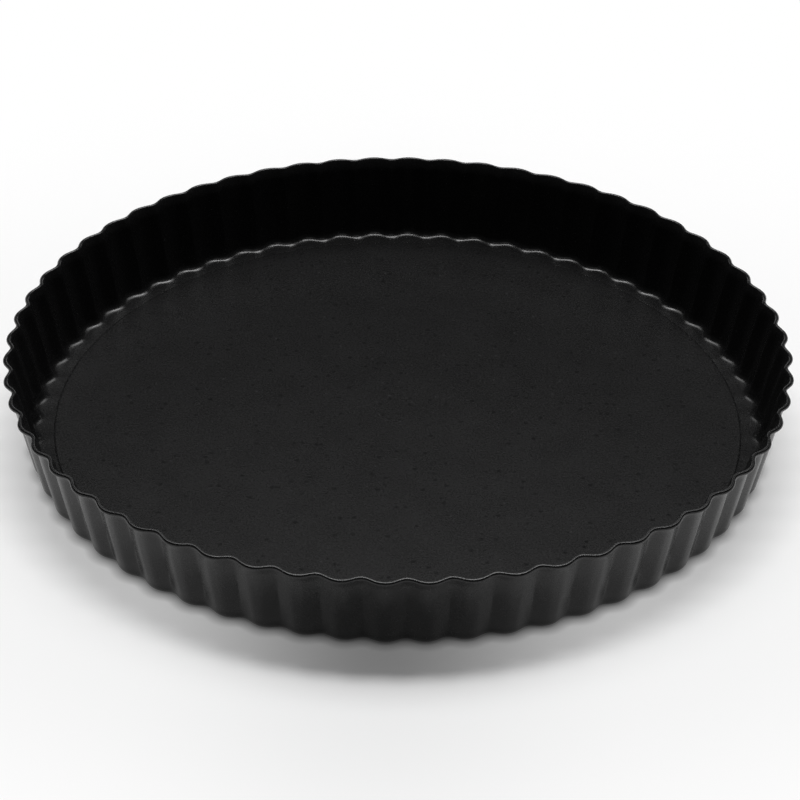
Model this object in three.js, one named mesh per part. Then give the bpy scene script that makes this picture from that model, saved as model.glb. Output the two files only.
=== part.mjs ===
// Round fluted tart pan with a loose base: a pressed steel ring and a flat disc,
// both with a black non-stick coat.
// Millimetres, +Z up. The origin is the centre of the face that the pan stands on.

import * as THREE from 'three';

const { cos, sin, tan, PI } = Math;
const { degToRad, lerp } = THREE.MathUtils;

// Driving dimensions of the fluted ring
const rimDiameter = 280; // over the flute tips
const panHeight = 31.3; // to the top of the rim
const sheetThickness = 0.8;
const wallLean = degToRad(12); // of the straight wall, away from the vertical
const floorFillet = 3; // inside radius between the floor and the wall
const fluteCount = 60;
const fluteDepth = 2.05; // from tip to valley
const fluteSharpness = 0.1; // share of a second wave that widens the tips and narrows the valleys
const flareRadius = 14; // outside radius of the outward bend below the rim
const flareAngle = degToRad(18); // by which the wall bends outwards there
const rimRollRadius = 0.8; // of the rolled edge
const rollUnderside = degToRad(-50); // direction from the roll's middle to where it starts, under the rim
const rimDip = 0.3; // by which the rim lies lower at a flute tip than at a valley
const ledgeOverlap = 9.6; // width of the ledge that lies under the base

// Driving dimensions of the loose base
const baseThickness = 0.8;
const basePlay = 3.3; // room between the base and the flute valleys, all round
const baseEdgeEase = 0.2; // chamfer on its cut edge

// Fineness of the facets
const stepsPerFlute = 6;
const filletSteps = 3;
const rollSteps = 2; // from the outermost point of the rolled edge to its top
const baseSides = 120;

const coatFinish = { color: 0x1d1d1e, roughness: 0.48, metalness: 0.1 };

const coat = (name) => new THREE.MeshStandardMaterial({ name, ...coatFinish });

// Directions in the plane of the section, anticlockwise from straight away from the axis
const downwards = -PI / 2;
const wallOutwards = -wallLean; // square to the straight wall
const rimOutwards = wallOutwards - flareAngle; // square to the wall at the rim

const pointAt = (centre, distance, direction) =>
  new THREE.Vector2(centre.x + distance * cos(direction), centre.y + distance * sin(direction));

// Points along an arc, both ends included
function arc(centre, radius, from, to, steps) {
  const points = [];
  for (let step = 0; step <= steps; step++) {
    points.push(pointAt(centre, radius, lerp(from, to, step / steps)));
  }
  return points;
}

// How far the wall is pressed in at a phase of the flute: 0 at the tip and 1 at the valley
const dentAt = (phase) => ((1 - cos(phase)) - fluteSharpness * (1 - cos(2 * phase))) / 2;

// Section through a flute tip: the places that the ring and the base share
function ringLayout() {
  const rollCentre = new THREE.Vector2(rimDiameter / 2 - rimRollRadius, panHeight - rimRollRadius);
  const rollInside = pointAt(rollCentre, rimRollRadius, rimOutwards + PI);
  const flareInside = flareRadius + sheetThickness;
  const flareCentre = pointAt(rollInside, flareInside, rimOutwards);
  const wallTop = pointAt(flareCentre, flareInside, wallOutwards + PI);
  const filletHeight = sheetThickness + floorFillet;
  const wallFoot = filletHeight - floorFillet * sin(wallLean);
  const wallFootRadius = wallTop.x - (wallTop.y - wallFoot) * tan(wallLean);
  const filletRadius = wallFootRadius - floorFillet * cos(wallLean);
  const filletCentre = new THREE.Vector2(filletRadius, filletHeight);
  const baseRadius = filletRadius - fluteDepth - basePlay;
  const ledgeRadius = baseRadius - ledgeOverlap;
  return { rollCentre, flareInside, flareCentre, filletCentre, baseRadius, ledgeRadius };
}

// Closed outline of the ring's section, anticlockwise from the ledge's lower edge.
// Each point says how much of the flute's dent and of the rim's dip it takes, from 0 to 1.
function ringSection({ rollCentre, flareInside, flareCentre, filletCentre, ledgeRadius }) {
  const outline = [];
  const add = (dent, dip, ...points) => {
    points.forEach((point) => outline.push({ point, dent, dip }));
  };

  const outerCorner = floorFillet + sheetThickness;
  const flareEnd = rimOutwards + PI + rimRollRadius / flareRadius; // outside, short of the roll

  add(0, 0, new THREE.Vector2(ledgeRadius, 0));
  add(1, 0, ...arc(filletCentre, outerCorner, downwards, wallOutwards, filletSteps));
  add(1, 0, pointAt(flareCentre, flareRadius, wallOutwards + PI));
  add(1, 1, pointAt(flareCentre, flareRadius, flareEnd));
  add(1, 1, pointAt(rollCentre, rimRollRadius, rollUnderside));
  add(1, 1, ...arc(rollCentre, rimRollRadius, 0, PI / 2, rollSteps));
  add(1, 1, pointAt(rollCentre, rimRollRadius, rimOutwards + PI));
  add(1, 0, pointAt(flareCentre, flareInside, wallOutwards + PI));
  add(1, 0, ...arc(filletCentre, floorFillet, wallOutwards, downwards, filletSteps));
  add(0, 0, new THREE.Vector2(ledgeRadius, sheetThickness));
  return outline;
}

// The section swept round the axis, with the flutes pressed into it
function flutedSweep(outline) {
  const steps = fluteCount * stepsPerFlute;
  const positions = [];
  const triangles = [];
  outline.forEach(({ point, dent, dip }, row) => {
    const nextRow = (row + 1) % outline.length;
    for (let step = 0; step < steps; step++) {
      const dented = dentAt((2 * PI * step) / stepsPerFlute);
      const radius = point.x - fluteDepth * dented * dent;
      const height = point.y - rimDip * (1 - dented) * dip;
      const turn = (2 * PI * step) / steps;
      positions.push(radius * cos(turn), radius * sin(turn), height);

      const nextStep = (step + 1) % steps;
      const here = row * steps + step;
      const beside = row * steps + nextStep;
      const above = nextRow * steps + step;
      const across = nextRow * steps + nextStep;
      triangles.push(here, beside, across, here, across, above);
    }
  });
  const geometry = new THREE.BufferGeometry();
  geometry.setAttribute('position', new THREE.Float32BufferAttribute(positions, 3));
  geometry.setIndex(triangles);
  geometry.computeVertexNormals();
  return geometry;
}

// Fluted wall, rolled rim and in-turned ledge, pressed as one piece
function makeFlutedRing(layout) {
  const mesh = new THREE.Mesh(flutedSweep(ringSection(layout)), coat('ring_coat'));
  mesh.name = 'fluted_ring';
  return mesh;
}

// Flat disc that lies loose on the ledge and lifts straight out
function makeLooseBase({ baseRadius }) {
  const outline = new THREE.Shape();
  outline.absarc(0, 0, baseRadius, 0, 2 * PI);
  const geometry = new THREE.ExtrudeGeometry(outline, {
    depth: baseThickness - 2 * baseEdgeEase,
    curveSegments: baseSides / 2, // a full arc gets two sides for each
    bevelThickness: baseEdgeEase,
    bevelSize: baseEdgeEase,
    bevelOffset: -baseEdgeEase,
    bevelSegments: 1,
  });
  const mesh = new THREE.Mesh(geometry, coat('base_coat'));
  mesh.name = 'loose_base';
  mesh.position.z = sheetThickness + baseEdgeEase;
  return mesh;
}

const layout = ringLayout();
const tartPan = new THREE.Group();
tartPan.add(makeFlutedRing(layout), makeLooseBase(layout));

export default tartPan;
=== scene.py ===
# Looks of a fluted tart pan with a loose base: black coated steel on a white floor.
# Metres, +Z up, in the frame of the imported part.

import random
from math import acos, cos, hypot, pi, radians, sin, tan

import bpy
from mathutils import Matrix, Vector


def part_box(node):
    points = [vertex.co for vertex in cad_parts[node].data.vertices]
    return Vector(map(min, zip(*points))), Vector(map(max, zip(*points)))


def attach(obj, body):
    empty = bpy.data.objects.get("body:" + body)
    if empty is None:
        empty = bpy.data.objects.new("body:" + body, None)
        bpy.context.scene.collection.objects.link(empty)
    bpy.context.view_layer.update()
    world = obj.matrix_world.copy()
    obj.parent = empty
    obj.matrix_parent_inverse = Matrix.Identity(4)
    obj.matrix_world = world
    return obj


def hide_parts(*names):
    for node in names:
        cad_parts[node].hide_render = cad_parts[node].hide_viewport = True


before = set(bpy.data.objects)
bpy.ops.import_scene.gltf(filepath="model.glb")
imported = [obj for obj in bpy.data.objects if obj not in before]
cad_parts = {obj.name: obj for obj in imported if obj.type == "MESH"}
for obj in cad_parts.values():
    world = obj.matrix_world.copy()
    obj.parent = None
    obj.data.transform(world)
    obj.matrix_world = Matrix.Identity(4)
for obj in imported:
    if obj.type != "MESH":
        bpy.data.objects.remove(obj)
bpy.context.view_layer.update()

MM = 0.001

# Sizes that the frame gives
ring_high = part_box("fluted_ring")[1]
base_low, base_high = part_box("loose_base")
rim_radius = ring_high.x
pan_height = ring_high.z
base_radius = base_high.x

# Shape of the ring, as its solid has it
sheet = base_low.z  # the base lies on the ledge, so its underside gives the sheet's thickness
wall_lean = radians(12)
fillet_radius = 3 * MM
flute_count = 60
flute_depth = 2.05 * MM
flute_sharpness = 0.1  # share of a second wave that widens the tips and narrows the valleys
flare_radius = 14 * MM
flare_angle = radians(18)
roll_radius = 0.8 * MM
roll_underside = radians(-50)
rim_dip = 0.3 * MM
ledge_overlap = 9.6 * MM

# Details that only the looks have
tip_panel = 0.25  # in half flutes: half the width of the flat strip along a tip, half-way up the wall
tip_corner = 0.1  # in half flutes: rounding between that strip and the straight flanks
pleat_spread = 1.6  # the larger this is, the nearer to the rim and the foot the straight flanks reach
flute_unevenness = 0.035  # largest share by which single flutes are pressed deeper or shallower
unevenness_seed = 28
base_edge_width = 0.9 * MM  # of the rounding that blanking leaves along the top of the base
base_edge_drop = 0.5 * MM
base_burr_round = 0.1 * MM  # along its underside
base_flat_margin = 0.4 * MM  # from the rounding to the outermost ring of points on the flat

# Fineness of the meshes
steps_per_flute = 22
corner_steps = 7
wall_steps = 5
flare_steps = 8
roll_steps = 14
ledge_edge_steps = 6
base_sides = 360
base_flat_steps = 8
base_edge_steps = 8
base_burr_steps = 4
sharp_bend = radians(40)  # an edge that bends more than this is shaded as sharp

# Directions in the plane of the section, anticlockwise from straight away from the axis
down = -pi / 2
wall_out = -wall_lean
rim_out = wall_out - flare_angle

# Colour of the coat
coat_darkest = 0.0032  # the mottle runs between these two shades of grey
coat_lightest = 0.0088
speck_shade = 3 * coat_lightest
blue_tint = 1.03  # blue against red and green
mottle_span = (0.3, 0.7)  # levels of the mottle that give the first and the last shade and roughness
grain_share = 0.76  # of the grain in the mottle; the clouds make up the rest

# Surface of the coat
clouds_per_metre = 60
cloud_detail = 3
grains_per_metre = 1300
grain_detail = 2
grain_depth = 0.03 * MM
grain_strength = 0.06
ripples_per_metre = 420  # of the orange peel
ripple_detail = 1
ripple_depth = 0.1 * MM
ripple_strength = 0.05
pit_spacing = 3.4 * MM
pit_reach = 0.3  # radius of a pit, as a share of the spacing
pit_limit = 0.35  # a cell has a pit if its random shade is darker than this
pit_smoothness = 0.1  # by which a pit is less rough than the coat round it
speck_spacing = 4.1 * MM
speck_reach = 0.16
speck_limit = 0.25
coat_ior = 1.42

# Floor and backdrop
floor_half_width = 6.0
floor_drop = 0.2 * MM  # below the pan, so that their faces don't lie in one plane
floor_white = 0.95
front_painted_light_share = 0.14  # share of plain white in the floor's look near the pan, in front: painted light that pales the shadow
side_painted_light_share = 0.47  # the same at the pan's sides, where more painted light pales the shadow further
painted_shadow_half_width = 0.087  # from the middle of the pan, sideways, to where the side's share of painted light is reached
shadow_reach = 0.14  # from the middle of the pan to where the floor starts to turn plain white
white_reach = 0.28  # from the middle of the pan to where it is plain white
painted_foot_shade_reach = 4 * MM  # where the pan is closer to the floor than this, less plain white is mixed in: painted shade at the pan's foot
backdrop_radius = 2.6
backdrop_reach = radians(35)  # to each side of straight behind
backdrop_height = 0.7
backdrop_sides = 24

# Light
lamp_height = 1.8
lamp_right = 0.06  # from the middle of the pan
world_grey = 0.03

# Camera, as the photograph has it
picture_size = 800  # pixels
camera_elevation = radians(33.86)
camera_turn = radians(1.5)  # about the pan's axis, from straight in front
camera_roll = radians(0.66)
camera_distance = 1.069  # from the middle of the face that the pan stands on
camera_focal_pixels = 2956
middle_right_of_centre = -2.2  # pixels, from the picture's centre to the middle of the underside
middle_below_centre = 18.9


# Section of the ring

def point_at(centre, distance, direction):
    return centre[0] + distance * cos(direction), centre[1] + distance * sin(direction)


def arc(centre, radius, start, end, steps):
    """Points along an arc, both ends included."""
    return [point_at(centre, radius, start + (end - start) * step / steps) for step in range(steps + 1)]


def between(start, end, steps):
    """Points that cut a straight stretch into equal steps, both ends left out."""
    shares = [step / steps for step in range(1, steps)]
    return [(start[0] + (end[0] - start[0]) * s, start[1] + (end[1] - start[1]) * s) for s in shares]


def ring_section():
    """Closed outline as rows of (point, share of the flute's dent, share of the rim's dip)."""
    roll_centre = (rim_radius - roll_radius, pan_height - roll_radius)
    flare_inside = flare_radius + sheet
    flare_centre = point_at(point_at(roll_centre, roll_radius, rim_out + pi), flare_inside, rim_out)
    wall_top = point_at(flare_centre, flare_inside, wall_out + pi)
    fillet_height = sheet + fillet_radius
    wall_foot_height = fillet_height - fillet_radius * sin(wall_lean)
    wall_foot = wall_top[0] - (wall_top[1] - wall_foot_height) * tan(wall_lean)
    fillet_centre = (wall_foot - fillet_radius * cos(wall_lean), fillet_height)
    ledge_centre = (base_radius - ledge_overlap + sheet / 2, sheet / 2)  # of the ledge's rounded edge
    flare_end = rim_out + pi + roll_radius / flare_radius  # outside, short of the roll

    outer_corner = arc(fillet_centre, fillet_radius + sheet, down, wall_out, corner_steps)
    outer_flare = arc(flare_centre, flare_radius, wall_out + pi, flare_end, flare_steps)
    rolled_edge = arc(roll_centre, roll_radius, roll_underside, rim_out + pi, roll_steps)
    inner_flare = arc(flare_centre, flare_inside, rim_out + pi, wall_out + pi, flare_steps)
    inner_corner = arc(fillet_centre, fillet_radius, wall_out, down, corner_steps)
    ledge_edge = arc(ledge_centre, sheet / 2, pi / 2, 3 * pi / 2, ledge_edge_steps)

    rows = [(point, 1, 0) for point in outer_corner]
    rows += [(point, 1, 0) for point in between(outer_corner[-1], outer_flare[0], wall_steps)]
    rows += [(point, 1, step / flare_steps) for step, point in enumerate(outer_flare)]
    rows += [(point, 1, 1) for point in rolled_edge]
    rows += [(point, 1, 1 - step / flare_steps) for step, point in enumerate(inner_flare) if step]
    rows += [(point, 1, 0) for point in between(inner_flare[-1], inner_corner[0], wall_steps)]
    rows += [(point, 1, 0) for point in inner_corner]
    rows += [(point, 0, 0) for point in ledge_edge]
    return rows


# Pieces of the pan

def flank_at(from_tip):
    """A line that is level near the tip of a flute and slopes evenly from there to the valley."""
    past_panel = from_tip - tip_panel
    return past_panel + hypot(past_panel, tip_corner)


def dent_at(phase, height):
    """How far the wall is pressed in at a height: 0 at a flute's tip and 1 at its valley.

    The round waves at the foot and the rim turn into straight-sided pleats half-way up.
    """
    way_up = min(max((height - fillet_radius) / (pan_height - 2 * fillet_radius), 0), 1)
    wave = ((1 - cos(phase)) - flute_sharpness * (1 - cos(2 * phase))) / 2
    from_tip = acos(cos(phase)) / pi
    pleat = (flank_at(from_tip) - flank_at(0)) / (flank_at(1) - flank_at(0))
    return wave + (pleat - wave) * min(1, pleat_spread * sin(pi * way_up))


def add_mesh(name, points, faces, material):
    """A mesh object of one material, in the scene."""
    mesh = bpy.data.meshes.new(name)
    mesh.from_pydata(points, [], faces)
    mesh.materials.append(material)
    thing = bpy.data.objects.new(name, mesh)
    bpy.context.scene.collection.objects.link(thing)
    return thing


def add_piece(name, points, faces, body, node, material):
    """A smooth mesh that stands for a node and moves with its body."""
    piece = add_mesh(name, points, faces, material)
    piece.data.shade_smooth()
    piece.data.set_sharp_from_angle(angle=sharp_bend)
    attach(piece, body)
    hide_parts(node)


def make_ring(material):
    """Fluted wall, rolled rim and in-turned ledge."""
    chance = random.Random(unevenness_seed)
    depths = [flute_depth * (1 + chance.uniform(-1, 1) * flute_unevenness) for _ in range(flute_count)]
    rows = ring_section()
    steps = flute_count * steps_per_flute
    points = []
    faces = []
    for row, ((radius, height), dent, dip) in enumerate(rows):
        next_row = (row + 1) % len(rows)
        for step in range(steps):
            dented = dent_at(2 * pi * step / steps_per_flute, height)
            at_radius = radius - depths[step // steps_per_flute] * dented * dent
            at_height = height - rim_dip * (1 - dented) * dip
            turn = 2 * pi * step / steps
            points.append((at_radius * cos(turn), at_radius * sin(turn), at_height))
            next_step = (step + 1) % steps
            faces.append((row * steps + step, row * steps + next_step,
                          next_row * steps + next_step, next_row * steps + step))
    add_piece("pressed_fluted_ring", points, faces, "ring", "fluted_ring", material)


def base_profile():
    """Half section of the base as (radius, height), from near the middle of its top to its underside."""
    inner = base_radius - base_edge_width
    burr_centre = (base_radius - base_burr_round, base_low.z + base_burr_round)
    flat_radii = [inner * step / base_flat_steps for step in range(1, base_flat_steps)]
    flat_radii.append(inner - base_flat_margin)
    rows = [(radius, base_high.z) for radius in flat_radii]
    rows += [(inner + base_edge_width * right, base_high.z - base_edge_drop * (1 - up))
             for right, up in arc((0, 0), 1, pi / 2, 0, base_edge_steps)]
    rows += arc(burr_centre, base_burr_round, 0, down, base_burr_steps)
    rows += [(radius, base_low.z) for radius in reversed(flat_radii)]
    return rows


def make_base(material):
    """Flat disc with an eased cut edge."""
    rows = base_profile()
    points = [(0, 0, base_high.z)]
    for radius, height in rows:
        for side in range(base_sides):
            turn = 2 * pi * side / base_sides
            points.append((radius * cos(turn), radius * sin(turn), height))
    points.append((0, 0, base_low.z))

    faces = []
    last_row = 1 + (len(rows) - 1) * base_sides
    for side in range(base_sides):
        next_side = (side + 1) % base_sides
        faces.append((0, 1 + side, 1 + next_side))
        for row in range(len(rows) - 1):
            here = 1 + row * base_sides
            below = here + base_sides
            faces.append((here + side, below + side, below + next_side, here + next_side))
        faces.append((last_row + side, len(points) - 1, last_row + next_side))
    add_piece("flat_loose_base", points, faces, "base", "loose_base", material)


# Nodes

def node_material(name):
    """A material and its node tree."""
    material = bpy.data.materials.new(name)
    material.use_nodes = True
    return material, material.node_tree


def add_node(tree, kind, inputs=None, **settings):
    """A node with its settings and input values. A value that is a socket is linked."""
    node = tree.nodes.new(kind)
    for name, value in settings.items():
        setattr(node, name, value)
    for name, value in (inputs or {}).items():
        if isinstance(value, bpy.types.NodeSocket):
            tree.links.new(value, node.inputs[name])
        else:
            node.inputs[name].default_value = value
    return node


def calculate(tree, operation, *values, **settings):
    """The result of a sum, product or like operation on numbers and sockets."""
    inputs = dict(enumerate(values))
    return add_node(tree, "ShaderNodeMath", inputs, operation=operation, **settings).outputs["Value"]


def map_range(tree, value, source, target, **settings):
    """A value carried over from one range to another and held at its ends."""
    return add_node(tree, "ShaderNodeMapRange", {
        "Value": value,
        "From Min": source[0],
        "From Max": source[1],
        "To Min": target[0],
        "To Max": target[1],
    }, **settings).outputs["Result"]


# Coat

def grey(level):
    return (level, level, level * blue_tint, 1)


def noise(tree, place, per_metre, detail):
    """Soft random levels: so many swells to the metre, with so many finer sets on top of them."""
    inputs = {"Vector": place, "Scale": per_metre, "Detail": detail}
    return add_node(tree, "ShaderNodeTexNoise", inputs).outputs["Fac"]


def flecks(tree, place, spacing, reach, limit):
    """1 in the middle of small spots in some of the cells, fading to 0 at their rim."""
    cells = add_node(tree, "ShaderNodeTexVoronoi", {"Vector": place, "Scale": 1 / spacing})
    spot = map_range(tree, cells.outputs["Distance"], (0, reach), (1, 0))
    picked = calculate(tree, "LESS_THAN", cells.outputs["Color"], limit)
    return calculate(tree, "MULTIPLY", spot, picked)


def coat_colour(tree, mottle, specks):
    """Black to dark grey by the mottle, with paler specks."""
    shades = add_node(tree, "ShaderNodeValToRGB", {"Fac": mottle})
    for stop, level, shade in zip(shades.color_ramp.elements, mottle_span, (coat_darkest, coat_lightest)):
        stop.position = level
        stop.color = grey(shade)
    return add_node(tree, "ShaderNodeMix", {
        "Factor": specks, "A": shades.outputs["Color"], "B": grey(speck_shade),
    }, data_type="RGBA").outputs["Result"]


def coat_bumps(tree, peel, grain):
    """Normals of a light orange peel with fine grain on it."""
    ripples = add_node(tree, "ShaderNodeBump", {
        "Height": peel, "Strength": ripple_strength, "Distance": ripple_depth,
    }).outputs["Normal"]
    return add_node(tree, "ShaderNodeBump", {
        "Height": grain, "Strength": grain_strength, "Distance": grain_depth, "Normal": ripples,
    }).outputs["Normal"]


def coat_material(name, least_rough, most_rough):
    """Satin black non-stick coat: fine grain, faint clouds, small pits and specks, a light orange peel."""
    material, tree = node_material(name)
    place = add_node(tree, "ShaderNodeTexCoord").outputs["Object"]
    clouds = noise(tree, place, clouds_per_metre, cloud_detail)
    grain = noise(tree, place, grains_per_metre, grain_detail)
    peel = noise(tree, place, ripples_per_metre, ripple_detail)
    mottle = add_node(tree, "ShaderNodeMix", {
        "Factor": grain_share, "A": clouds, "B": grain,
    }).outputs["Result"]
    pits = flecks(tree, place, pit_spacing, pit_reach, pit_limit)
    specks = flecks(tree, place, speck_spacing, speck_reach, speck_limit)
    colour = coat_colour(tree, mottle, specks)
    rough = map_range(tree, mottle, mottle_span, (least_rough, most_rough))
    pitted = calculate(tree, "MULTIPLY_ADD", pits, -pit_smoothness, rough)

    shader = tree.nodes["Principled BSDF"].inputs
    tree.links.new(colour, shader["Base Color"])
    tree.links.new(pitted, shader["Roughness"])
    tree.links.new(coat_bumps(tree, peel, grain), shader["Normal"])
    shader["IOR"].default_value = coat_ior
    return material


# Stage

def seen_rays(tree):
    """1 for rays that show a thing, straight, mirrored or through glass, and 0 for those that only light."""
    rays = add_node(tree, "ShaderNodeLightPath").outputs
    seen = calculate(tree, "ADD", rays["Is Camera Ray"], rays["Is Glossy Ray"])
    return calculate(tree, "ADD", seen, rays["Is Transmission Ray"], use_clamp=True)


def painted_floor_whiteness(tree):
    """Share of plain white, painted light: little in front of the pan and at its foot, more at its sides, 1
    further out.
    """
    smooth = {"interpolation_type": "SMOOTHSTEP"}
    place = add_node(tree, "ShaderNodeTexCoord").outputs["Object"]
    far = add_node(tree, "ShaderNodeVectorMath", {0: place}, operation="LENGTH").outputs["Value"]
    across = add_node(tree, "ShaderNodeSeparateXYZ", {"Vector": place}).outputs["X"]
    aside = calculate(tree, "ABSOLUTE", across)
    # painted light: more plain white at the pan's sides than in front of it
    near = map_range(tree, aside, (0, painted_shadow_half_width), (front_painted_light_share, side_painted_light_share), **smooth)
    painted_whiteness = map_range(tree, far, (shadow_reach, white_reach), (near, 1), **smooth)
    # painted shade: less plain white where the pan is close to the floor
    painted_foot_shade = add_node(tree, "ShaderNodeAmbientOcclusion", {"Distance": painted_foot_shade_reach}).outputs["AO"]
    return calculate(tree, "MULTIPLY", painted_whiteness, painted_foot_shade)


def floor_material():
    """Matt white that keeps the pan's shadow, mixed with plain white where it is seen or mirrored; the mix
    is painted light and shade, paler at the pan's sides than in front and at its foot.
    """
    material, tree = node_material("floor_white")
    shader = tree.nodes["Principled BSDF"]
    shader.inputs["Base Color"].default_value = (floor_white, floor_white, floor_white, 1)
    shader.inputs["Roughness"].default_value = 1
    shader.inputs["Specular IOR Level"].default_value = 0
    painted_white_share = calculate(tree, "MULTIPLY", seen_rays(tree), painted_floor_whiteness(tree))
    white = add_node(tree, "ShaderNodeEmission").outputs["Emission"]
    mixed = add_node(tree, "ShaderNodeMixShader", {0: painted_white_share, 1: shader.outputs["BSDF"], 2: white})
    tree.links.new(mixed.outputs["Shader"], tree.nodes["Material Output"].inputs["Surface"])
    return material


def make_floor():
    signs = ((-1, -1), (1, -1), (1, 1), (-1, 1))
    corners = [(x * floor_half_width, y * floor_half_width, 0) for x, y in signs]
    floor = add_mesh("floor", corners, [(0, 1, 2, 3)], floor_material())
    floor.location.z = -floor_drop


def backdrop_material():
    """Plain white that is seen and mirrored but lights nothing."""
    material, tree = node_material("backdrop_white")
    white = add_node(tree, "ShaderNodeEmission", {"Strength": seen_rays(tree)})
    tree.links.new(white.outputs["Emission"], tree.nodes["Material Output"].inputs["Surface"])
    return material


def make_backdrop():
    """Low white screen, curved round the back of the stage, that the pan's fillets mirror."""
    foot = arc((0, 0), backdrop_radius, pi / 2 - backdrop_reach, pi / 2 + backdrop_reach, backdrop_sides)
    points = [(x, y, height) for height in (0, backdrop_height) for x, y in foot]
    top = len(foot)
    faces = [(side, side + 1, top + side + 1, top + side) for side in range(backdrop_sides)]
    backdrop = add_mesh("backdrop", points, faces, backdrop_material())


def make_softbox(name, back, width, depth, power):
    """Soft lamp that hangs so far behind the middle of the pan and shines straight down."""
    lamp = bpy.data.lights.new(name, "AREA")
    lamp.shape = "RECTANGLE"
    lamp.size = width
    lamp.size_y = depth
    lamp.energy = power
    softbox = bpy.data.objects.new(name, lamp)
    softbox.location = (lamp_right, back, lamp_height)
    bpy.context.scene.collection.objects.link(softbox)


def make_world():
    world = bpy.data.worlds.new("studio")
    world.use_nodes = True
    background = world.node_tree.nodes["Background"]
    background.inputs["Color"].default_value = (world_grey, world_grey, world_grey, 1)
    bpy.context.scene.world = world


def make_camera():
    lens = bpy.data.cameras.new("camera")
    lens.lens = camera_focal_pixels / picture_size * lens.sensor_width
    lens.shift_x = -middle_right_of_centre / picture_size
    lens.shift_y = middle_below_centre / picture_size
    camera = bpy.data.objects.new("camera", lens)
    upright = Matrix.Rotation(pi / 2 - camera_elevation, 4, "X") @ Matrix.Rotation(camera_roll, 4, "Z")
    in_front = camera_distance * cos(camera_elevation)
    above = camera_distance * sin(camera_elevation)
    away = Matrix.Translation((0, -in_front, above))
    camera.matrix_world = Matrix.Rotation(camera_turn, 4, "Z") @ away @ upright
    bpy.context.scene.collection.objects.link(camera)
    bpy.context.scene.camera = camera


# The whole scene

make_ring(coat_material("ring_coat_satin", least_rough=0.243, most_rough=0.287))
make_base(coat_material("base_coat_satin", least_rough=0.253, most_rough=0.297))
make_floor()
make_backdrop()
make_softbox("overhead", back=0.5, width=1.2, depth=0.4, power=23)
make_softbox("behind", back=1.1, width=2.4, depth=0.8, power=20.5)
make_softbox("front", back=-0.7, width=1.2, depth=0.4, power=1.2)
make_world()
make_camera()
bpy.context.scene.view_settings.view_transform = "Standard"
